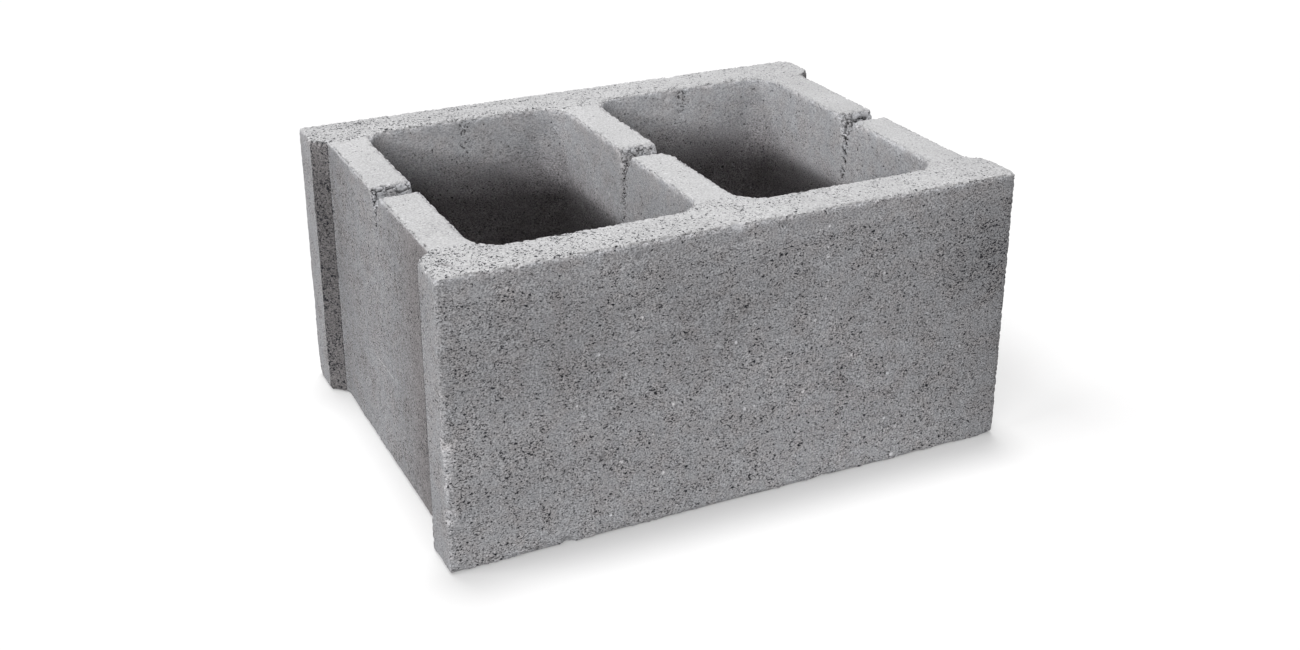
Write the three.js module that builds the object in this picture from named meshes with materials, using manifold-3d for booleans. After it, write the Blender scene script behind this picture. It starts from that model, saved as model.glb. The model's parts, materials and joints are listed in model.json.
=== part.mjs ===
// A hollow concrete block with two cores, pressed as one piece of dry concrete in a steel mould.
// Millimetres. X runs along the wall, Y runs through it and Z is up, from the middle of the underside.
// It stands as it left the mould, with the slots of the core bar across the tops of its webs.

import * as THREE from "three";
import { mergeVertices } from "three/addons/utils/BufferGeometryUtils.js";
import Module from "manifold-3d";

// The block's outside
const LENGTH = 390;
const WIDTH = 290;
const HEIGHT = 190;
const ARRIS = 1.2; // every cast edge is broken by this much

// The walls, measured at the top, where they are thinnest
const SHELL = 32; // front and back face shells
const MIDDLE_WEB = 28;
const END_WEB = 27;

// The ears: each face shell runs on past the end webs, and the pocket between two ears takes mortar
const POCKET_DEPTH = 10;
const EAR_TIP = 31; // thickness of an ear at its tip
const EAR_SPLAY = 10; // how much thicker an ear is at its root
const EAR_TIP_RADIUS = 2;
const EAR_ROOT_RADIUS = 3;

// The cores: steel formers that taper downwards, so that the block drops off them
const CORE_CORNER_RADIUS = 20;
const CORE_DRAFT = 2.5; // how far a core wall has leaned in by the underside

// The slot that the core bar leaves across each web
const SLOT_WIDTH = 19;
const SLOT_DEPTH = 11;
const SLOT_FLOOR = 7; // width of its flat bottom
const SLOT_FLOOR_RADIUS = 3;

const CORNER_STEPS = 6; // straight pieces in each rounded corner
const CLEAR = 5; // how far a cutter runs on past the face it opens

const CONCRETE = new THREE.MeshStandardMaterial({ color: 0xa3a2a4, roughness: 0.95, metalness: 0 });

// The points of a closed loop whose corners are rounded, anticlockwise. A corner is [x, y, radius],
// and one with no radius stays sharp.
function roundedLoop(corners) {
  return corners.flatMap(([x, y, radius = 0], i) => {
    const corner = new THREE.Vector2(x, y);
    if (radius === 0) return [corner];
    const toLast = new THREE.Vector2(...corners.at(i - 1)).sub(corner).normalize();
    const toNext = new THREE.Vector2(...corners[(i + 1) % corners.length]).sub(corner).normalize();
    const halfAngle = Math.acos(toLast.dot(toNext)) / 2;
    const inward = toLast.clone().add(toNext).normalize();
    const centre = corner.clone().addScaledVector(inward, radius / Math.sin(halfAngle));
    const start = corner.clone().addScaledVector(toLast, radius / Math.tan(halfAngle)).sub(centre);
    const end = corner.clone().addScaledVector(toNext, radius / Math.tan(halfAngle)).sub(centre);
    const turn = Math.atan2(start.cross(end), start.dot(end));
    return Array.from({ length: CORNER_STEPS + 1 }, (_, step) =>
      start.clone().rotateAround(new THREE.Vector2(), (turn * step) / CORNER_STEPS).add(centre),
    );
  });
}

// The same loop moved inwards by a distance, each point along the bisector of its two sides.
function inset(loop, distance) {
  return loop.map((point, i) => {
    const before = point.clone().sub(loop.at(i - 1)).normalize();
    const after = loop[(i + 1) % loop.length].clone().sub(point).normalize();
    const normal = new THREE.Vector2(-before.y - after.y, before.x + after.x).normalize();
    const stretch = normal.dot(new THREE.Vector2(-before.y, before.x));
    return point.clone().addScaledVector(normal, distance / stretch);
  });
}

// A closed solid through level sections with equal numbers of points, from the lowest up.
function loft(sections) {
  const count = sections[0].loop.length;
  const positions = sections.flatMap(({ z, loop }) => loop.flatMap(({ x, y }) => [x, y, z]));
  const top = (sections.length - 1) * count;
  const triangles = [];
  for (let ring = 0; ring < top; ring += count) {
    for (let i = 0; i < count; i += 1) {
      const a = ring + i;
      const b = ring + ((i + 1) % count);
      triangles.push(a, b, b + count, a, b + count, a + count);
    }
  }
  for (const [a, b, c] of THREE.ShapeUtils.triangulateShape(sections[0].loop, [])) {
    triangles.push(a, c, b);
  }
  for (const [a, b, c] of THREE.ShapeUtils.triangulateShape(sections.at(-1).loop, [])) {
    triangles.push(top + a, top + b, top + c);
  }
  const geometry = new THREE.BufferGeometry();
  geometry.setAttribute("position", new THREE.Float32BufferAttribute(positions, 3));
  return geometry.setIndex(triangles);
}

// The outline of the block seen from above: a rectangle with an eared pocket in each end
function outline() {
  const earInside = WIDTH / 2 - EAR_TIP;
  const pocketInside = earInside - EAR_SPLAY;
  const pocketFace = LENGTH / 2 - POCKET_DEPTH;
  const rightEnd = [
    [LENGTH / 2, -WIDTH / 2, EAR_TIP_RADIUS],
    [LENGTH / 2, -earInside, EAR_TIP_RADIUS],
    [pocketFace, -pocketInside, EAR_ROOT_RADIUS],
    [pocketFace, pocketInside, EAR_ROOT_RADIUS],
    [LENGTH / 2, earInside, EAR_TIP_RADIUS],
    [LENGTH / 2, WIDTH / 2, EAR_TIP_RADIUS],
  ];
  const leftEnd = rightEnd.map(([x, y, radius]) => [-x, -y, radius]);
  return roundedLoop([...rightEnd, ...leftEnd]);
}

// The whole casting before its cores, with its upper and lower edges broken
function castBody() {
  const sides = outline();
  return loft([
    { z: 0, loop: inset(sides, ARRIS) },
    { z: ARRIS, loop: sides },
    { z: HEIGHT - ARRIS, loop: sides },
    { z: HEIGHT, loop: inset(sides, ARRIS) },
  ]);
}

// One core former between the middle web and the end web on the side that the sign gives
function coreFormer(side) {
  const nearX = MIDDLE_WEB / 2;
  const farX = LENGTH / 2 - POCKET_DEPTH - END_WEB;
  const halfX = (farX - nearX) / 2;
  const halfY = WIDTH / 2 - SHELL;
  const corners = [
    [-halfX, -halfY, CORE_CORNER_RADIUS],
    [halfX, -halfY, CORE_CORNER_RADIUS],
    [halfX, halfY, CORE_CORNER_RADIUS],
    [-halfX, halfY, CORE_CORNER_RADIUS],
  ];
  const mouth = roundedLoop(corners);
  const flare = ARRIS + CLEAR;
  const former = loft([
    { z: -CLEAR, loop: inset(mouth, CORE_DRAFT - flare) },
    { z: ARRIS, loop: inset(mouth, CORE_DRAFT) },
    { z: HEIGHT - ARRIS, loop: mouth },
    { z: HEIGHT + CLEAR, loop: inset(mouth, -flare) },
  ]);
  return former.translate(side * (nearX + halfX), 0, 0);
}

// The core bar that hung the formers across the mould, as long as the block
function coreBar() {
  const wide = SLOT_WIDTH / 2;
  const narrow = SLOT_FLOOR / 2;
  const slope = (wide - narrow) / SLOT_DEPTH;
  const section = roundedLoop([
    [-wide - slope * CLEAR, CLEAR],
    [-narrow, -SLOT_DEPTH, SLOT_FLOOR_RADIUS],
    [narrow, -SLOT_DEPTH, SLOT_FLOOR_RADIUS],
    [wide + slope * CLEAR, CLEAR],
  ]);
  const bar = new THREE.ExtrudeGeometry(new THREE.Shape(section), { depth: LENGTH, bevelEnabled: false });
  // The section's own axes become Y and Z, and its depth runs along X.
  bar.applyMatrix4(
    new THREE.Matrix4().makeBasis(
      new THREE.Vector3(0, 1, 0),
      new THREE.Vector3(0, 0, 1),
      new THREE.Vector3(1, 0, 0),
    ),
  );
  return bar.translate(-LENGTH / 2, 0, HEIGHT);
}

const wasm = await Module();
wasm.setup();

function solid(geometry) {
  geometry.deleteAttribute("normal");
  geometry.deleteAttribute("uv");
  const merged = mergeVertices(geometry);
  return new wasm.Manifold(
    new wasm.Mesh({
      numProp: 3,
      vertProperties: merged.attributes.position.array,
      triVerts: new Uint32Array(merged.index.array),
    }),
  );
}

function meshOf(name, shape, material) {
  const { vertProperties, triVerts } = shape.getMesh();
  const geometry = new THREE.BufferGeometry();
  geometry.setAttribute("position", new THREE.BufferAttribute(vertProperties, 3));
  geometry.setIndex(new THREE.BufferAttribute(triVerts, 1));
  geometry.computeVertexNormals();
  const mesh = new THREE.Mesh(geometry, material);
  mesh.name = name;
  return mesh;
}

const casting = solid(castBody())
  .subtract(solid(coreFormer(-1)))
  .subtract(solid(coreFormer(1)))
  .subtract(solid(coreBar()));

const block = new THREE.Group();
block.add(meshOf("concrete_block", casting, CONCRETE));

export default block;
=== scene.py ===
import json
import math

import bpy
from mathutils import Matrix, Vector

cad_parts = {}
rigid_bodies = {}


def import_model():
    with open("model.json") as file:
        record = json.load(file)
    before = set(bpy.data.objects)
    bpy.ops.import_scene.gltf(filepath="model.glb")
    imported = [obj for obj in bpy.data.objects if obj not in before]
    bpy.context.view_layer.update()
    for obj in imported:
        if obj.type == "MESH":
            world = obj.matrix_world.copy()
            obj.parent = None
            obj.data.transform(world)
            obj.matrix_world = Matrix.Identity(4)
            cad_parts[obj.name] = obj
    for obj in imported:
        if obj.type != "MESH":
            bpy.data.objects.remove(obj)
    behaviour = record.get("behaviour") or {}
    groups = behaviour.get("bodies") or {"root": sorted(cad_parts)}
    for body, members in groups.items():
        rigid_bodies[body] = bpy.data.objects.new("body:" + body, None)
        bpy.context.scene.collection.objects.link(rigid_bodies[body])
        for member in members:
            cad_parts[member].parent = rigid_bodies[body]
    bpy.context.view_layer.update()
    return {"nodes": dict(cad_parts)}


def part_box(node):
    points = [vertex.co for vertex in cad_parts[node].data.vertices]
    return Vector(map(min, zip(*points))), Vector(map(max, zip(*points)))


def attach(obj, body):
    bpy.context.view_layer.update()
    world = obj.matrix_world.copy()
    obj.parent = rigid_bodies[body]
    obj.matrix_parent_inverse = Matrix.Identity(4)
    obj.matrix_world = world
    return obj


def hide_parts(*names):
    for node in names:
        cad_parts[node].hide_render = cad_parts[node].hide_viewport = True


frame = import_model()
bpy.ops.object.select_all(action="DESELECT")

# --- The casting -----------------------------------------------------------------------------
# One piece of dry-mix concrete, vibrated and pressed in a steel mould and pushed out at once.
# The mould leaves flat walls. The crumbling edges, the open pores and the concrete torn by the
# core bar are worked into a fine mesh of the block, always inwards.
block = frame["nodes"]["concrete_block"]
MM = 0.001
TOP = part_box("concrete_block")[1].z
VOXEL = 1.1 * MM
TRIANGLES = 196_000
SMOOTH_UNDER = 45  # degrees between faces
CHIPS = [  # x, y, z and radius in millimetres of what has broken off the arrises
    (-7, -145, 190, 4.2),
    (-195, -145, 84, 3.4),
    (-195, -146, 71, 2.4),
    (-195, -144, 42, 2.8),
    (15, -11, 191, 6.5),
    (159, -12, 191, 4.0),
    (-180, -127, 191, 4.0),
    (-195, -145, 190, 3.4),
    (195, -145, 30, 1.8),
    (-195, 145, 2, 5.0),
    (-120, -145, 0, 4.0),
    (60, -145, 0, 3.2),
    (195, 145, 190, 5.0),
    (90, 145, 190, 4.0),
    (-60, 145, 0, 4.5),
    (195, 118, 70, 3.2),
]


def add(tree, kind, *feeds, **settings):
    """Adds a node and gives back its outputs. Feeds fill its inputs in order. A setting with a
    capital letter is the input of that name, and any other is a property of the node."""
    made = tree.nodes.new(kind)
    for name, value in settings.items():
        if not name[0].isupper():
            setattr(made, name, value)
    sockets = [socket for socket in made.inputs if socket.enabled]
    fed = list(zip(sockets, feeds))
    for name, value in settings.items():
        if name[0].isupper():
            fed.append((next(s for s in sockets if s.name == name.replace("_", " ")), value))
    for socket, value in fed:
        if isinstance(value, bpy.types.NodeSocket):
            tree.links.new(value, socket)
        elif value is not None:
            socket.default_value = value
    return [socket for socket in made.outputs if socket.enabled]


def tears(tree, spot):
    """What the core bar tore, from a place in millimetres, each from 0 to 1: where the concrete is
    torn, the gaps between its bare 6 mm stones, and the voids in lines that lead down from it."""
    x, y, z = add(tree, "ShaderNodeSeparateXYZ", spot)
    end_x = add(tree, "ShaderNodeMath", x, operation="ABSOLUTE")[0]
    side_y = add(tree, "ShaderNodeMath", y, operation="ABSOLUTE")[0]
    down = add(tree, "ShaderNodeMath", TOP / MM, z, operation="SUBTRACT")[0]
    reach = add(tree, "ShaderNodeMapRange", down, From_Max=20, To_Min=10.5, To_Max=0)[0]
    torn = add(tree, "ShaderNodeMath", reach, side_y, operation="SUBTRACT")[0]
    torn = add(tree, "ShaderNodeMapRange", torn, From_Min=-0.5, From_Max=0.7)[0]
    below = add(tree, "ShaderNodeMapRange", down, From_Min=0.3, From_Max=2.0)[0]
    torn = add(tree, "ShaderNodeMath", torn, below, operation="MULTIPLY")[0]
    rough = add(tree, "ShaderNodeTexNoise", spot, Scale=1 / 2.0, Detail=1.0)[1]
    rough = add(tree, "ShaderNodeVectorMath", rough, (1.6, 1.6, 1.6), spot, operation="MULTIPLY_ADD")[0]
    gaps = add(tree, "ShaderNodeTexVoronoi", rough, Scale=1 / 6.0, feature="DISTANCE_TO_EDGE")[0]
    gaps = add(tree, "ShaderNodeMapRange", gaps, From_Min=0.02, From_Max=0.1, To_Min=1, To_Max=0)[0]
    packed = add(tree, "ShaderNodeTexNoise", spot, Scale=1 / 4.0, Detail=1.0)[0]
    packed = add(tree, "ShaderNodeMapRange", packed, From_Min=0.35, From_Max=0.6, To_Min=0.25, To_Max=1)[0]
    gaps = add(tree, "ShaderNodeMath", gaps, packed, operation="MULTIPLY")[0]

    # The lines run down the middles of the webs, and down the shells 86 mm out, on their inner sides.
    sway = add(tree, "ShaderNodeTexNoise", spot, Scale=1 / 15.0, Detail=1.0)[0]
    sway = add(tree, "ShaderNodeMapRange", sway, To_Min=-2.5, To_Max=2.5, clamp=False)[0]
    off_web = add(tree, "ShaderNodeMath", y, sway, operation="SUBTRACT")[0]
    off_shell = add(tree, "ShaderNodeMath", end_x, 86.0, operation="SUBTRACT")[0]
    off_shell = add(tree, "ShaderNodeMath", off_shell, sway, operation="SUBTRACT")[0]
    shell = add(tree, "ShaderNodeMath", side_y, 115.0, 5.0, operation="COMPARE")[0]
    off_line = add(tree, "ShaderNodeMix", shell, off_web, off_shell)[0]
    off_line = add(tree, "ShaderNodeMath", off_line, operation="ABSOLUTE")[0]
    spread = add(tree, "ShaderNodeMapRange", down, From_Min=12, From_Max=55, To_Min=6.0, To_Max=4.0)[0]
    outer = add(tree, "ShaderNodeMapRange", end_x, From_Min=182, From_Max=184, To_Min=1.0, To_Max=0.55)[0]
    spread = add(tree, "ShaderNodeMath", spread, outer, operation="MULTIPLY")[0]
    inside = add(tree, "ShaderNodeMath", off_line, spread, operation="DIVIDE")[0]
    inside = add(tree, "ShaderNodeMapRange", inside, From_Min=0.35, To_Min=1, To_Max=0)[0]
    share = add(tree, "ShaderNodeMapRange", down, From_Min=12, From_Max=62, To_Min=0.22, To_Max=0.07)[0]
    shell_share = add(tree, "ShaderNodeMapRange", down, From_Min=2, From_Max=40, To_Min=0.15, To_Max=0.03)[0]
    share = add(tree, "ShaderNodeMix", shell, share, shell_share)[0]
    share = add(tree, "ShaderNodeMath", share, inside, operation="MULTIPLY")[0]
    voids = add(tree, "ShaderNodeTexNoise", spot, Scale=1 / 1.8, Detail=1.0, Roughness=0.6)[0]
    voids = add(tree, "ShaderNodeMath", voids, share, operation="ADD")[0]
    voids = add(tree, "ShaderNodeMapRange", voids, From_Min=0.7, From_Max=0.76)[0]
    below = add(tree, "ShaderNodeMapRange", down, From_Min=1.5, From_Max=3.0)[0]
    voids = add(tree, "ShaderNodeMath", voids, below, operation="MULTIPLY")[0]
    above = add(tree, "ShaderNodeMath", down, 75.0, operation="LESS_THAN")[0]
    voids = add(tree, "ShaderNodeMath", voids, above, operation="MULTIPLY")[0]
    shallow = add(tree, "ShaderNodeMath", shell, -0.3, 1.0, operation="MULTIPLY_ADD")[0]
    voids = add(tree, "ShaderNodeMath", voids, shallow, operation="MULTIPLY")[0]
    near = add(tree, "ShaderNodeMath", side_y, 120.0, operation="LESS_THAN")[0]
    voids = add(tree, "ShaderNodeMath", voids, near, operation="MULTIPLY")[0]
    return torn, gaps, voids


casting = bpy.data.objects.new("block_casting", block.data.copy())
bpy.context.scene.collection.objects.link(casting)
bpy.context.view_layer.objects.active = casting
bpy.ops.object.mode_set(mode="EDIT")
bpy.ops.mesh.select_all(action="SELECT")
bpy.ops.mesh.remove_doubles(threshold=0.01 * MM)
bpy.ops.object.mode_set(mode="OBJECT")

for number, (x, y, z, radius) in enumerate(CHIPS):
    bpy.ops.mesh.primitive_ico_sphere_add(
        subdivisions=2,
        radius=radius * MM,
        location=(x * MM, y * MM, z * MM),
        rotation=(0.7 * number, 1.1 * number, 0.4 * number),
        scale=(1.5, 0.9, 1.0),
    )
    bpy.context.object.name = "chip"
chips = bpy.context.object
for chip in bpy.data.objects:
    chip.select_set(chip.name.startswith("chip"))
bpy.ops.object.join()
bpy.ops.object.transform_apply(location=True, rotation=True, scale=True)
bpy.context.view_layer.objects.active = casting
broken = casting.modifiers.new("broken arrises", "BOOLEAN")
broken.operation = "DIFFERENCE"
broken.object = chips
bpy.ops.object.modifier_apply(modifier=broken.name)
fine = casting.modifiers.new("fine mesh", "REMESH")
fine.mode = "VOXEL"
fine.voxel_size = VOXEL
bpy.ops.object.modifier_apply(modifier=fine.name)

# The relief, in millimetres. Each part of it is a depth, and their sum is cut along the normal.
relief = bpy.data.node_groups.new("cast relief", "GeometryNodeTree")
relief.interface.new_socket("Geometry", in_out="INPUT", socket_type="NodeSocketGeometry")
relief.interface.new_socket("Geometry", in_out="OUTPUT", socket_type="NodeSocketGeometry")
surface = add(relief, "NodeGroupInput")[0]
position = add(relief, "GeometryNodeInputPosition")[0]
normal = add(relief, "GeometryNodeInputNormal")[0]
spot = add(relief, "ShaderNodeVectorMath", position, operation="SCALE", Scale=1 / MM)[0]
_, y, z = add(relief, "ShaderNodeSeparateXYZ", spot)
below_top = add(relief, "ShaderNodeMath", TOP / MM, z, operation="SUBTRACT")[0]
beside_bar = add(relief, "ShaderNodeMath", y, operation="ABSOLUTE")[0]
in_core = add(relief, "ShaderNodeMath", beside_bar, 118.0, operation="LESS_THAN")[0]

# Arrises are where the surface stands proud of its own blurred copy. The struck ones on top
# crumble by up to 3.2 mm at the cores and 2.1 mm elsewhere, those pressed in a corner of the mould
# by about half as much, and the lowest one, which dragged on its pallet, wanders by 1.6 mm more.
blurred = add(relief, "GeometryNodeBlurAttribute", spot, Iterations=8, data_type="FLOAT_VECTOR")[0]
proud = add(relief, "ShaderNodeVectorMath", spot, blurred, operation="SUBTRACT")[0]
convex = add(relief, "ShaderNodeVectorMath", proud, normal, operation="DOT_PRODUCT")[0]
arris = add(relief, "ShaderNodeMapRange", convex, From_Min=0.08, From_Max=0.45)[0]
crumbs = add(relief, "ShaderNodeTexNoise", spot, Scale=1 / 3.2, Detail=2.0, Roughness=0.7)[0]
crumbs = add(relief, "ShaderNodeMapRange", crumbs, From_Min=0.46, From_Max=0.68, To_Min=0.1, To_Max=2.6)[0]
struck = add(relief, "ShaderNodeMapRange", below_top, From_Min=2, From_Max=5, To_Min=1, To_Max=0.45)[0]
crumbs = add(relief, "ShaderNodeMath", crumbs, struck, operation="MULTIPLY")[0]
loose = add(relief, "ShaderNodeMath", in_core, 0.45, 0.8, operation="MULTIPLY_ADD")[0]
crumbs = add(relief, "ShaderNodeMath", crumbs, loose, operation="MULTIPLY")[0]
drag = add(relief, "ShaderNodeTexNoise", spot, Scale=1 / 14.0, Detail=2.0)[0]
drag = add(relief, "ShaderNodeMapRange", drag, From_Min=0.4, From_Max=0.7, To_Max=1.6)[0]
at_foot = add(relief, "ShaderNodeMapRange", z, From_Min=1, From_Max=4, To_Min=1, To_Max=0)[0]
drag = add(relief, "ShaderNodeMath", drag, at_foot, operation="MULTIPLY")[0]
crumbs = add(relief, "ShaderNodeMath", crumbs, drag, operation="ADD")[0]
crumbled = add(relief, "ShaderNodeMath", crumbs, arris, operation="MULTIPLY")[0]

# The stones that the bar dragged bare, with gaps 1.5 mm deep, and the voids under it, 2 mm deep.
torn, gaps, voids = tears(relief, spot)
grit = add(relief, "ShaderNodeTexNoise", spot, Scale=1 / 2.4, Detail=2.0)[0]
grit = add(relief, "ShaderNodeMapRange", grit, From_Min=0.35, From_Max=0.7, To_Min=0, To_Max=0.7)[0]
rubble = add(relief, "ShaderNodeMath", gaps, 1.5, grit, operation="MULTIPLY_ADD")[0]
dragged = add(relief, "ShaderNodeMath", rubble, torn, operation="MULTIPLY")[0]
starved = add(relief, "ShaderNodeMath", voids, 2.0, operation="MULTIPLY")[0]

# Open pores wide enough to be cut. The finer ones are in the material.
cell, tint = add(relief, "ShaderNodeTexVoronoi", spot, Scale=1 / 12.0)[:2]
chance = add(relief, "ShaderNodeSeparateXYZ", tint)[0]
pore_radius = add(relief, "ShaderNodeMapRange", chance, From_Min=0.8, From_Max=1.0, To_Min=0, To_Max=0.24)[0]
pore_radius = add(relief, "ShaderNodeMath", in_core, -0.06, pore_radius, operation="MULTIPLY_ADD")[0]
pore = add(relief, "ShaderNodeMath", pore_radius, cell, operation="SUBTRACT")[0]
pore = add(relief, "ShaderNodeMapRange", pore, From_Min=0, From_Max=0.1, To_Min=0, To_Max=1.2)[0]

# The webs finish a little lower than the face shells, and no cast face is quite true.
on_top = add(relief, "ShaderNodeMapRange", below_top, From_Min=0.4, From_Max=1.6, To_Min=1, To_Max=0)[0]
web_top = add(relief, "ShaderNodeMapRange", beside_bar, From_Min=102, From_Max=104.5, To_Min=0.6, To_Max=0)[0]
web_top = add(relief, "ShaderNodeMath", web_top, on_top, operation="MULTIPLY")[0]
waves = add(relief, "ShaderNodeTexNoise", spot, Scale=1 / 22.0, Detail=2.0)[0]
waves = add(relief, "ShaderNodeMapRange", waves, From_Min=0.3, From_Max=0.7, To_Min=0.05, To_Max=0.35)[0]

hollow = add(relief, "ShaderNodeMath", starved, pore, operation="ADD")[0]
depth = hollow
for part in (dragged, crumbled, web_top, waves):
    depth = add(relief, "ShaderNodeMath", depth, part, operation="ADD")[0]
cut = add(relief, "ShaderNodeMath", depth, -MM, operation="MULTIPLY")[0]
offset = add(relief, "ShaderNodeVectorMath", normal, operation="SCALE", Scale=cut)[0]
for name, field in (("hollow", hollow), ("arris", arris)):
    surface = add(relief, "GeometryNodeStoreNamedAttribute", surface, Name=name, Value=field)[0]
surface = add(
    relief, "GeometryNodeStoreNamedAttribute", surface, Name="cast", Value=spot, data_type="FLOAT_VECTOR"
)[0]
surface = add(relief, "GeometryNodeSetPosition", surface, Offset=offset)[0]
add(relief, "NodeGroupOutput", surface)
cast = casting.modifiers.new("relief", "NODES")
cast.node_group = relief
bpy.ops.object.modifier_apply(modifier=cast.name)
bpy.data.objects.remove(chips)
lighter = casting.modifiers.new("fewer faces", "DECIMATE")
lighter.ratio = TRIANGLES / (2 * len(casting.data.polygons))  # its faces are quads
bpy.ops.object.modifier_apply(modifier=lighter.name)
casting.select_set(True)
bpy.ops.object.shade_smooth_by_angle(angle=math.radians(SMOOTH_UNDER))
casting.data.materials.clear()


def paint(hex_colour):
    """An sRGB hex colour as linear red, green and blue, with full alpha."""
    parts = [int(hex_colour[i : i + 2], 16) / 255 for i in (1, 3, 5)]
    return [p / 12.92 if p <= 0.04045 else ((p + 0.055) / 1.055) ** 2.4 for p in parts] + [1.0]


# Grey dry-cast concrete, as it came from the mould: fine sand in a lean paste, with open pits
# between the grains, pale grains of quartz, and hardly any sheen. The shade in the pits, pores,
# gaps and voids is painted dark, and the painted shade deep in the cores and on the splays is
# warmer. Places and pattern scales are in millimetres.
CEMENT_GREY = paint("#9E9FA2")[:3]
WARM_GREY = paint("#A09E9F")[:3]
CORE_SHADE_GREY = paint("#9C999B")[:3]
WARM_SHADE_GREY = paint("#A19E9F")[:3]
STRUCK_GREY = paint("#AAAAAB")[:3]
PIT_SHADE_GREY = paint("#26272C")[:3]
VOID_SHADE_GREY = paint("#1E1B1B")[:3]
concrete = bpy.data.materials.new("dry-cast grey concrete")
concrete.use_nodes = True
mix = concrete.node_tree
mix.nodes.clear()
spot = add(mix, "ShaderNodeTexCoord")[3]
spot = add(mix, "ShaderNodeVectorMath", spot, operation="SCALE", Scale=1 / MM)[0]
x, y, z = add(mix, "ShaderNodeSeparateXYZ", spot)
end_x = add(mix, "ShaderNodeMath", x, operation="ABSOLUTE")[0]
side_y = add(mix, "ShaderNodeMath", y, operation="ABSOLUTE")[0]
arris = add(mix, "ShaderNodeAttribute", attribute_name="arris")[2]
cast = add(mix, "ShaderNodeAttribute", attribute_name="cast")[1]
torn, gaps, voids = tears(mix, cast)

# Where each finish is: the struck tops of shells and webs, the pressed faces and the splays.
on_top = add(mix, "ShaderNodeMapRange", z, From_Min=187.6, From_Max=188.6)[0]
on_web = add(mix, "ShaderNodeMapRange", side_y, From_Min=102, From_Max=104.5, To_Min=1, To_Max=0)[0]
web_top = add(mix, "ShaderNodeMath", on_top, on_web, operation="MULTIPLY")[0]
side_only = add(mix, "ShaderNodeMath", 1.0, on_top, operation="SUBTRACT")[0]
on_face = add(mix, "ShaderNodeMapRange", side_y, From_Min=142.5, From_Max=144)[0]
on_face = add(mix, "ShaderNodeMath", on_face, side_only, operation="MULTIPLY")[0]
top_left = add(mix, "ShaderNodeMapRange", x, From_Min=-150, From_Max=60, To_Min=1, To_Max=0)[0]
top_left = add(mix, "ShaderNodeMath", top_left, on_top, operation="MULTIPLY")[0]
top_left = add(mix, "ShaderNodeMath", top_left, web_top, operation="SUBTRACT", use_clamp=True)[0]
inner = add(mix, "ShaderNodeMapRange", end_x, From_Min=171, From_Max=173, To_Min=1, To_Max=0)[0]
near_core = add(mix, "ShaderNodeMapRange", side_y, From_Min=118, From_Max=120, To_Min=1, To_Max=0)[0]
inner = add(mix, "ShaderNodeMath", inner, near_core, operation="MULTIPLY")[0]
inner = add(mix, "ShaderNodeMath", inner, side_only, operation="MULTIPLY")[0]
upper = add(mix, "ShaderNodeMapRange", z, From_Min=171, From_Max=178)[0]
upper = add(mix, "ShaderNodeMath", upper, side_only, operation="MULTIPLY")[0]
off_splay = add(mix, "ShaderNodeMath", end_x, side_y, operation="SUBTRACT")[0]
splay = add(mix, "ShaderNodeMath", off_splay, 81.0, 2.0, operation="COMPARE")[0]
past_face = add(mix, "ShaderNodeMath", end_x, 185.5, operation="GREATER_THAN")[0]
splay = add(mix, "ShaderNodeMath", splay, past_face, operation="MULTIPLY")[0]
pocket = add(mix, "ShaderNodeMapRange", end_x, From_Min=181, From_Max=182)[0]
near_pocket = add(mix, "ShaderNodeMapRange", side_y, From_Min=104.5, From_Max=105.5, To_Min=1, To_Max=0)[0]
pocket = add(mix, "ShaderNodeMath", pocket, near_pocket, operation="MULTIPLY")[0]
pocket = add(mix, "ShaderNodeMath", pocket, side_only, operation="MULTIPLY")[0]
ear_tip = add(mix, "ShaderNodeMapRange", end_x, From_Min=193, From_Max=194)[0]
near_face = add(mix, "ShaderNodeMapRange", side_y, From_Min=142.5, From_Max=144, To_Min=1, To_Max=0)[0]
ear_tip = add(mix, "ShaderNodeMath", ear_tip, near_face, operation="MULTIPLY")[0]
ear_tip = add(mix, "ShaderNodeMath", ear_tip, side_only, operation="MULTIPLY")[0]

# A cluster of more open concrete, 80 mm across, towards the +X end of both pressed faces.
cluster = add(mix, "ShaderNodeVectorMath", spot, (1.0, 0.0, 1.0), operation="MULTIPLY")[0]
cluster = add(mix, "ShaderNodeVectorMath", cluster, (180.0, 0.0, 138.0), operation="DISTANCE")[0]
cluster = add(mix, "ShaderNodeMapRange", cluster, From_Min=8, From_Max=44, To_Min=1, To_Max=0)[0]
cluster = add(mix, "ShaderNodeMath", cluster, on_face, operation="MULTIPLY")[0]

# Tone: slow drifts through the mix, and the layers in which the mould was filled.
drift = add(mix, "ShaderNodeTexNoise", spot, Scale=1 / 60, Detail=2.0)[0]
drift = add(mix, "ShaderNodeMapRange", drift, From_Min=0.3, From_Max=0.7, To_Min=0.94, To_Max=1.06)[0]
layers = add(mix, "ShaderNodeVectorMath", spot, (0.2, 0.2, 1.0), operation="MULTIPLY")[0]
layers = add(mix, "ShaderNodeTexNoise", layers, Scale=1 / 9, Detail=3.0)[0]
layer_tone = add(mix, "ShaderNodeMapRange", layers, From_Min=0.3, From_Max=0.7, To_Min=0.97, To_Max=1.03)[0]

# Sand shows as pale and dark grains of about 1 mm, pressed a little flat, in patches of 6 mm.
pressed = add(mix, "ShaderNodeVectorMath", spot, (1.0, 1.0, 1.3), operation="MULTIPLY")[0]
sand = add(mix, "ShaderNodeTexNoise", pressed, Scale=1 / 1.25, Detail=1.0, Roughness=0.7)[0]
sand = add(mix, "ShaderNodeMath", sand, 0.5, operation="SUBTRACT")[0]
patches = add(mix, "ShaderNodeTexNoise", spot, Scale=1 / 6.0, Detail=2.0, Roughness=0.7)[0]
patches = add(mix, "ShaderNodeMath", patches, 0.5, operation="SUBTRACT")[0]

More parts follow.
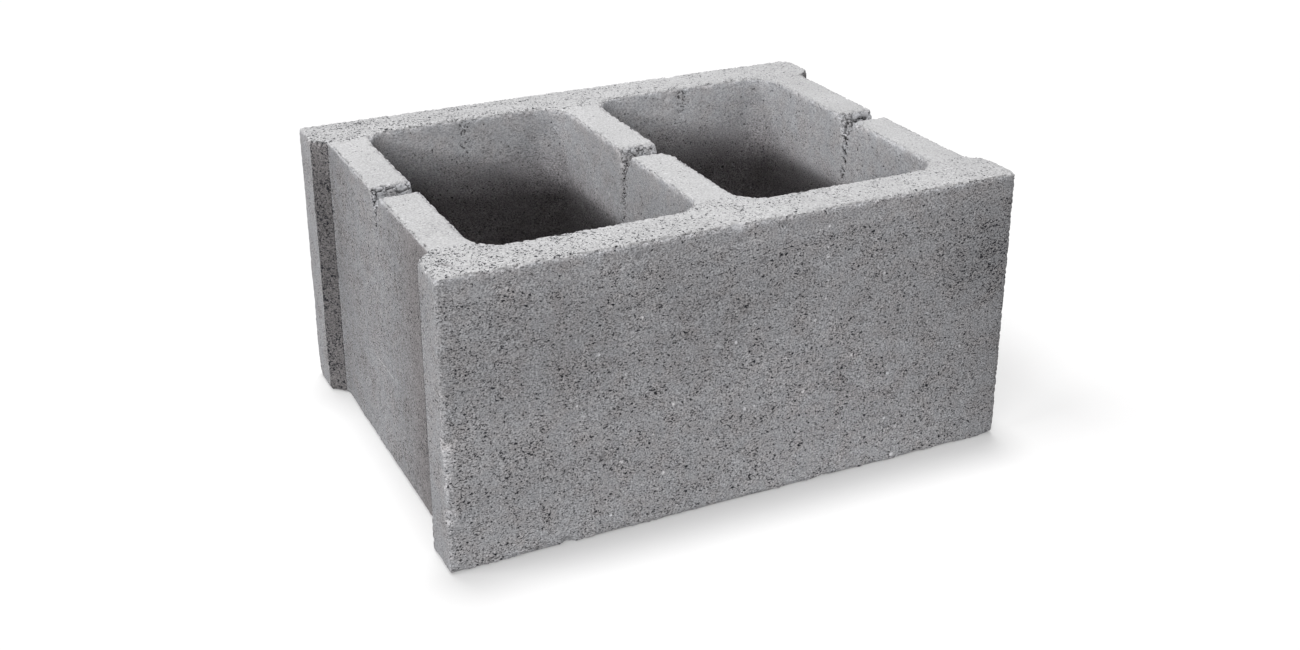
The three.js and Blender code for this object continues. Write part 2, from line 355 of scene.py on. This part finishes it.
# Pits: 1 to 2 mm, pressed a little flat, in clusters, where the paste didn't reach. The openness
# says how much of the surface they take.
rich = add(mix, "ShaderNodeTexNoise", spot, Scale=1 / 16, Detail=3.0, Roughness=0.65)[0]
openness = add(mix, "ShaderNodeMapRange", rich, From_Min=0.3, From_Max=0.7, To_Min=-0.055, To_Max=0.055)[0]
for place, change in (
    (on_face, 0.06),
    (inner, 0.015),
    (on_top, 0.045),
    (top_left, 0.05),
    (web_top, -0.07),
    (upper, -0.045),
    (splay, 0.1),
    (pocket, 0.06),
    (cluster, 0.05),
    (ear_tip, 0.045),
    (arris, -0.02),
    (torn, 0.1),
):
    openness = add(mix, "ShaderNodeMath", place, change, openness, operation="MULTIPLY_ADD")[0]
flat = add(mix, "ShaderNodeVectorMath", spot, (1.0, 1.0, 1.4), operation="MULTIPLY")[0]
pits = add(mix, "ShaderNodeTexNoise", flat, Scale=1 / 1.65, Detail=1.5, Roughness=0.7, Distortion=0.8)[0]
pits = add(mix, "ShaderNodeMath", openness, pits, operation="SUBTRACT")[0]
pits = add(mix, "ShaderNodeMapRange", pits, From_Min=-0.34, From_Max=-0.3)[0]

# Pores, 1 to 2.5 mm, of no regular outline, one to a cell of 6 mm at most.
rough = add(mix, "ShaderNodeTexNoise", spot, Scale=1 / 1.5, Detail=1.0)[1]
rough = add(mix, "ShaderNodeVectorMath", rough, (2.4, 2.4, 2.4), pressed, operation="MULTIPLY_ADD")[0]
cell, pores = add(mix, "ShaderNodeTexVoronoi", rough, Scale=1 / 6)[:2]
pores = add(mix, "ShaderNodeSeparateXYZ", pores)[0]
pores = add(mix, "ShaderNodeMath", openness, 1.5, pores, operation="MULTIPLY_ADD")[0]
pores = add(mix, "ShaderNodeMapRange", pores, From_Min=0.77, From_Max=1.12, To_Max=0.23)[0]
pores = add(mix, "ShaderNodeMath", inner, -0.03, pores, operation="MULTIPLY_ADD")[0]
pores = add(mix, "ShaderNodeMath", pores, cell, operation="SUBTRACT")[0]
pores = add(mix, "ShaderNodeMapRange", pores, From_Max=0.03)[0]

# Specks of quartz, up to 3.5 mm across, fainter on the struck tops and in the cores.
cell, quartz = add(mix, "ShaderNodeTexVoronoi", spot, Scale=1 / 7)[:2]
quartz = add(mix, "ShaderNodeSeparateXYZ", quartz)[0]
quartz = add(mix, "ShaderNodeMapRange", quartz, From_Min=0.83, From_Max=1.0, To_Min=0.0, To_Max=0.25)[0]
quartz = add(mix, "ShaderNodeMath", quartz, cell, operation="SUBTRACT")[0]
quartz = add(mix, "ShaderNodeMapRange", quartz, From_Max=0.05)[0]
off_top = add(mix, "ShaderNodeMath", on_top, -0.8, 1.0, operation="MULTIPLY_ADD")[0]
off_inner = add(mix, "ShaderNodeMath", inner, -0.7, 1.0, operation="MULTIPLY_ADD")[0]
for share in (off_top, off_inner):
    quartz = add(mix, "ShaderNodeMath", quartz, share, operation="MULTIPLY")[0]

# The pressed faces show their grain most and the tops of the webs least.
contrast = add(mix, "ShaderNodeMath", on_face, 0.57, 0.41, operation="MULTIPLY_ADD")[0]
# Painted shade: the core walls below where the low lamps reach are darker and warmer.
core_painted_shade = add(mix, "ShaderNodeMath", y, -0.13, z, operation="MULTIPLY_ADD")[0]
core_painted_shade = add(mix, "ShaderNodeMapRange", core_painted_shade, From_Min=115, From_Max=150, To_Min=1, To_Max=0)[0]
core_painted_shade = add(mix, "ShaderNodeMath", core_painted_shade, inner, operation="MULTIPLY")[0]
for place, change in (
    (inner, 0.16),
    (core_painted_shade, 0.4),
    (pocket, 0.34),
    (web_top, -0.02),
    (ear_tip, 0.4),
    (splay, 0.5),
):
    contrast = add(mix, "ShaderNodeMath", place, change, contrast, operation="MULTIPLY_ADD")[0]
speckle = add(mix, "ShaderNodeMath", sand, 2.8, operation="MULTIPLY")[0]
mottle = add(mix, "ShaderNodeMath", pocket, 0.65, 0.15, operation="MULTIPLY_ADD")[0]
mottle = add(mix, "ShaderNodeMath", inner, 0.25, mottle, operation="MULTIPLY_ADD")[0]
speckle = add(mix, "ShaderNodeMath", patches, mottle, speckle, operation="MULTIPLY_ADD")[0]
coarse = add(mix, "ShaderNodeTexNoise", spot, Scale=1 / 11, Detail=1.0)[0]
coarse = add(mix, "ShaderNodeMapRange", coarse, From_Min=0.3, From_Max=0.7, To_Min=0.7, To_Max=1.15)[0]
coarse = add(mix, "ShaderNodeMath", coarse, contrast, operation="MULTIPLY")[0]
speckle = add(mix, "ShaderNodeMath", speckle, coarse, operation="MULTIPLY")[0]
speckle = add(mix, "ShaderNodeMath", quartz, 0.8, speckle, operation="MULTIPLY_ADD")[0]
speckle = add(mix, "ShaderNodeMath", speckle, 1.0, operation="ADD")[0]
# Painted light and shade: the left core's walls are a little darker, the pockets darken towards
# their sides, and the splays are dark. These tones stand in for how the light falls on them.
core_painted_light_and_shade = add(mix, "ShaderNodeMapRange", x, From_Min=-20, From_Max=60, To_Min=0.92, To_Max=1.03)[0]
# Painted shade on the pockets, darker towards the ears.
pocket_painted_shade = add(mix, "ShaderNodeMath", y, 17.0, operation="SUBTRACT")[0]
pocket_painted_shade = add(mix, "ShaderNodeMath", pocket_painted_shade, operation="ABSOLUTE")[0]
pocket_painted_shade = add(mix, "ShaderNodeMapRange", pocket_painted_shade, From_Min=18, From_Max=88, To_Min=1.035, To_Max=0.75)[0]
splay_painted_shade = add(mix, "ShaderNodeMix", splay, 1.0, 0.4)[0]
inner_tone = add(mix, "ShaderNodeMix", inner, 1.0, core_painted_light_and_shade)[0]
pocket_tone = add(mix, "ShaderNodeMix", pocket, 1.0, pocket_painted_shade)[0]
# Painted light: the ear tips are paler.
tip_painted_light = add(mix, "ShaderNodeMix", ear_tip, 1.0, 1.08)[0]
cluster_tone = add(mix, "ShaderNodeMix", cluster, 1.0, 0.93)[0]
# Painted light and shade on both faces: a little darker above mid height and towards the +X
# end, paler at the foot and a little paler at the head. A pale line 14 mm down marks where the stamp stopped.
low_down = add(mix, "ShaderNodeMapRange", z, From_Min=80, From_Max=124, To_Min=1.045, To_Max=0.94)[0]
foot = add(mix, "ShaderNodeMapRange", z, From_Min=10, From_Max=45, To_Min=1.08, To_Max=1.0)[0]
head = add(mix, "ShaderNodeMapRange", z, From_Min=150, From_Max=178, To_Min=1.0, To_Max=1.035)[0]
stamp_and_painted_light = add(mix, "ShaderNodeMath", foot, head, operation="MULTIPLY")[0]
stamp_and_painted_light = add(mix, "ShaderNodeMath", stamp_and_painted_light, low_down, operation="MULTIPLY")[0]
stamp = add(mix, "ShaderNodeMath", z, 176.0, operation="SUBTRACT")[0]
stamp = add(mix, "ShaderNodeMath", stamp, operation="ABSOLUTE")[0]
stamp = add(mix, "ShaderNodeMapRange", stamp, From_Min=0.5, From_Max=1.8, To_Min=1.09, To_Max=1.0)[0]
stamp_and_painted_light = add(mix, "ShaderNodeMath", stamp_and_painted_light, stamp, operation="MULTIPLY")[0]
far_end = add(mix, "ShaderNodeMapRange", x, From_Min=102, From_Max=195, To_Min=1.0, To_Max=0.75)[0]
stamp_and_painted_light = add(mix, "ShaderNodeMath", stamp_and_painted_light, far_end, operation="MULTIPLY")[0]
stamp_and_painted_light = add(mix, "ShaderNodeMix", on_face, 1.0, stamp_and_painted_light)[0]
# Painted shade: the struck tops darken towards the +X end.
top_painted_shade = add(mix, "ShaderNodeMapRange", x, From_Min=30, From_Max=190, To_Min=1.0, To_Max=0.9)[0]
top_painted_shade = add(mix, "ShaderNodeMix", on_top, 1.0, top_painted_shade)[0]
# The painted shade on the splay is lightest at its head, and lightens again towards its foot.
splay_head = add(mix, "ShaderNodeMapRange", z, From_Min=160, From_Max=186, To_Min=1.0, To_Max=1.3)[0]
splay_foot = add(mix, "ShaderNodeMapRange", z, From_Min=20, From_Max=90, To_Min=1.22, To_Max=1.0)[0]
splay_shade_lift = add(mix, "ShaderNodeMath", splay_head, splay_foot, operation="MULTIPLY")[0]
splay_shade_lift = add(mix, "ShaderNodeMix", splay, 1.0, splay_shade_lift)[0]
# Fresh scars are pale: a scratch 34 mm long across the left pocket, and what was knocked off the
# front left arris.
scar = add(mix, "ShaderNodeMath", z, 67.5, 0.8, operation="COMPARE")[0]
for place in (add(mix, "ShaderNodeMath", y, 1.0, 17.0, operation="COMPARE")[0], pocket):
    scar = add(mix, "ShaderNodeMath", scar, place, operation="MULTIPLY")[0]
knock = add(mix, "ShaderNodeVectorMath", spot, (1.0, 1.0, 0.0), operation="MULTIPLY")[0]
knock = add(mix, "ShaderNodeVectorMath", knock, (-195.0, -145.0, 0.0), operation="DISTANCE")[0]
knock = add(mix, "ShaderNodeMapRange", knock, From_Min=3.5, From_Max=8, To_Min=1, To_Max=0)[0]
knocked = add(mix, "ShaderNodeTexNoise", spot, Scale=1 / 8.0, Detail=2.0)[0]
knocked = add(mix, "ShaderNodeMapRange", knocked, From_Min=0.48, From_Max=0.56)[0]
knock = add(mix, "ShaderNodeMath", knock, knocked, operation="MULTIPLY")[0]
by_foot = add(mix, "ShaderNodeMath", z, 62.0, 32.0, operation="COMPARE")[0]
knock = add(mix, "ShaderNodeMath", knock, by_foot, operation="MULTIPLY")[0]
left_end = add(mix, "ShaderNodeMath", x, 0.0, operation="LESS_THAN")[0]
scar = add(mix, "ShaderNodeMath", scar, left_end, operation="MULTIPLY")[0]
scar = add(mix, "ShaderNodeMath", scar, knock, operation="MAXIMUM")[0]
scar_tone = add(mix, "ShaderNodeMix", scar, 1.0, 1.38)[0]
shade = drift
for tone in (
    scar_tone,
    splay_shade_lift,
    layer_tone,
    speckle,
    splay_painted_shade,
    inner_tone,
    pocket_tone,
    tip_painted_light,
    cluster_tone,
    stamp_and_painted_light,
    top_painted_shade,
):
    shade = add(mix, "ShaderNodeMath", shade, tone, operation="MULTIPLY")[0]
# The more open the concrete, the warmer it is. The painted shade on the splays, deep in the cores
# and beside the front ears of the pockets is warmer too.
blotch = add(mix, "ShaderNodeMapRange", rich, From_Min=0.4, From_Max=0.7)[0]
grey = add(mix, "ShaderNodeMix", blotch, CEMENT_GREY, WARM_GREY, data_type="VECTOR")[0]
grey = add(mix, "ShaderNodeMix", splay, grey, WARM_SHADE_GREY, data_type="VECTOR")[0]
grey = add(mix, "ShaderNodeMix", core_painted_shade, grey, CORE_SHADE_GREY, data_type="VECTOR")[0]
# Painted shade, warm, on the pockets beside their front ears.
near_ear = add(mix, "ShaderNodeMapRange", y, From_Min=-70, From_Max=-40, To_Min=1, To_Max=0)[0]
near_ear = add(mix, "ShaderNodeMath", near_ear, pocket, operation="MULTIPLY")[0]
grey = add(mix, "ShaderNodeMix", near_ear, grey, WARM_SHADE_GREY, data_type="VECTOR")[0]
grey = add(mix, "ShaderNodeMix", on_top, grey, STRUCK_GREY, data_type="VECTOR")[0]
paste = add(mix, "ShaderNodeVectorMath", grey, operation="SCALE", Scale=shade)[0]
# The pits and pores are painted dark for the shade that falls in them.
pit_shade = add(mix, "ShaderNodeMapRange", contrast, From_Min=0.3, From_Max=1.0, To_Min=0.95, To_Max=1.0)[0]
pit_shade = add(mix, "ShaderNodeMath", inner, -0.22, pit_shade, operation="MULTIPLY_ADD")[0]
pit_shade = add(mix, "ShaderNodeMath", pits, pit_shade, operation="MULTIPLY")[0]
pore_shade = add(mix, "ShaderNodeMath", pores, 0.95, operation="MULTIPLY")[0]
pit_shade = add(mix, "ShaderNodeMath", pit_shade, pore_shade, operation="MAXIMUM")[0]
colour = add(mix, "ShaderNodeMix", pit_shade, paste, PIT_SHADE_GREY, data_type="VECTOR")[0]

# The gaps and voids are painted darker still, for the shade in them.
hollow = add(mix, "ShaderNodeAttribute", attribute_name="hollow")[2]
hollow = add(mix, "ShaderNodeMapRange", hollow, From_Min=0.3, From_Max=2.0, To_Min=0, To_Max=0.6)[0]
gap_shade = add(mix, "ShaderNodeMath", gaps, torn, operation="MULTIPLY")[0]
gap_shade = add(mix, "ShaderNodeMath", gap_shade, 0.72, operation="MULTIPLY")[0]
deep = add(mix, "ShaderNodeMath", gap_shade, hollow, operation="MAXIMUM")[0]
deep = add(mix, "ShaderNodeMath", deep, voids, operation="MAXIMUM")[0]
colour = add(mix, "ShaderNodeMix", deep, colour, VOID_SHADE_GREY, data_type="VECTOR")[0]

# Relief too fine for the mesh: the pits are 0.7 mm deep, the pores 1 mm, and the sand under 1 mm.
height = add(mix, "ShaderNodeMath", sand, contrast, operation="MULTIPLY")[0]
height = add(mix, "ShaderNodeMath", pits, -0.7, height, operation="MULTIPLY_ADD")[0]
height = add(mix, "ShaderNodeMath", pores, -1.0, height, operation="MULTIPLY_ADD")[0]
bump = add(mix, "ShaderNodeBump", Height=height, Distance=MM, Strength=0.6)[0]
body = add(mix, "ShaderNodeBsdfPrincipled", colour, Roughness=0.95, Normal=bump, Specular_IOR_Level=0.2)[0]
add(mix, "ShaderNodeOutputMaterial", body)
casting.data.materials.append(concrete)
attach(casting, "root")
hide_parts("concrete_block")

# --- The floor ---------------------------------------------------------------------------------
# A plain white studio floor. The camera sees it brighter than the block does, so that it goes
# white all over but for the block's own soft shadow.


def shows_white(tree):
    """1 for what the camera sees, straight, in a mirror or through glass, and 0 for all other light."""
    seen, _, _, mirrored, _, _, through = add(tree, "ShaderNodeLightPath")[:7]
    seen = add(tree, "ShaderNodeMath", seen, mirrored, operation="MAXIMUM")[0]
    return add(tree, "ShaderNodeMath", seen, through, operation="MAXIMUM")[0]


bpy.ops.mesh.primitive_plane_add(size=12, location=(0, 0, 0))
floor = bpy.context.object
floor.name = "studio_floor"
white = bpy.data.materials.new("white studio floor")
white.use_nodes = True
tree = white.node_tree
tree.nodes.clear()
seen = shows_white(tree)
bounce = add(tree, "ShaderNodeBsdfDiffuse", paint("#332827"))[0]
shown = add(tree, "ShaderNodeBsdfDiffuse", paint("#BFBFBF"))[0]
glow = add(tree, "ShaderNodeEmission", paint("#A3A3A3"))[0]
shown = add(tree, "ShaderNodeAddShader", shown, glow)[0]
surface = add(tree, "ShaderNodeMixShader", seen, bounce, shown)[0]
add(tree, "ShaderNodeOutputMaterial", surface)
floor.data.materials.append(white)

# --- Lights --------------------------------------------------------------------------------------
# Low lamps on the left and in front, a soft box overhead, a fill from behind and a faint even light
# from the room. Three more lamps fall on the floor alone and make the block's soft shadow.
world = bpy.data.worlds.new("studio")
world.use_nodes = True
bpy.context.scene.world = world
tree = world.node_tree
tree.nodes.clear()
seen = shows_white(tree)
fill = add(tree, "ShaderNodeMapRange", seen, To_Min=0.03, To_Max=1.0)[0]
tint = add(tree, "ShaderNodeMix", seen, (1.0, 0.8, 0.8, 1.0), (1.0, 1.0, 1.0, 1.0), data_type="RGBA")[0]
sky = add(tree, "ShaderNodeBackground", tint, fill)[0]
add(tree, "ShaderNodeOutputWorld", sky)

lit_block = bpy.data.collections.new("lit by the block lamps")
lit_block.objects.link(casting)
lit_floor = bpy.data.collections.new("lit by the floor lamps")
lit_floor.objects.link(floor)
# Each lamp: name, azimuth and elevation it shines from, level on what faces it, angle across, and
# what it lights.
LAMPS = [
    ("left lamp, back edge", -26, 17.5, 0.1, 5, lit_block),
    ("left lamp, back half", -9, 18.5, 0.28, 4, lit_block),
    ("left lamp, front half", 1, 20.5, 0.22, 4, lit_block),
    ("left front lamp", 42, 16.5, 0.26, 7, lit_block),
    ("front lamp, left half", 75, 10.5, 0.355, 11, lit_block),
    ("front lamp, right half", 104, 7.5, 0.205, 9, lit_block),
    ("overhead box", 90, 90, 0.98, 8, lit_block),
    ("back fill", 225, 14, 0.7, 20, lit_block),
    ("floor lamp, left", -10, 60, 0.34, 20, lit_floor),
    ("floor lamp, left front", 40, 52, 0.24, 20, lit_floor),
    ("floor lamp, overhead", 262, 82.5, 0.77, 14, lit_floor),
]
for name, azimuth, elevation, level, across, lit in LAMPS:
    lamp = bpy.data.lights.new(name, "SUN")
    lamp.energy = level * math.pi
    lamp.angle = math.radians(across)
    holder = bpy.data.objects.new(name, lamp)
    holder.rotation_euler = (math.radians(90 - elevation), 0, math.radians(azimuth - 90))
    holder.light_linking.receiver_collection = lit
    bpy.context.scene.collection.objects.link(holder)

# --- Camera --------------------------------------------------------------------------------------
# It stands on the front left, 1.1 m from the middle of the block, and looks down on it. A small
# shift sets the block in the frame.
FRAME_WIDTH = 1300  # pixels
FOCAL = 1600  # pixels
SENSOR = 36  # millimetres
LOOKS_DOWN = 22.6  # degrees
TURNED_RIGHT = 25.8  # degrees, from straight at the front face
camera_data = bpy.data.cameras.new("camera")
camera_data.sensor_width = SENSOR
camera_data.lens = FOCAL / FRAME_WIDTH * SENSOR
camera_data.shift_y = -0.06
camera = bpy.data.objects.new("camera", camera_data)
camera.location = (-434 * MM, -908 * MM, 538 * MM)
camera.rotation_euler = (math.radians(90 - LOOKS_DOWN), 0, math.radians(-TURNED_RIGHT))
bpy.context.scene.collection.objects.link(camera)
bpy.context.scene.camera = camera
bpy.context.scene.view_settings.view_transform = "Standard"
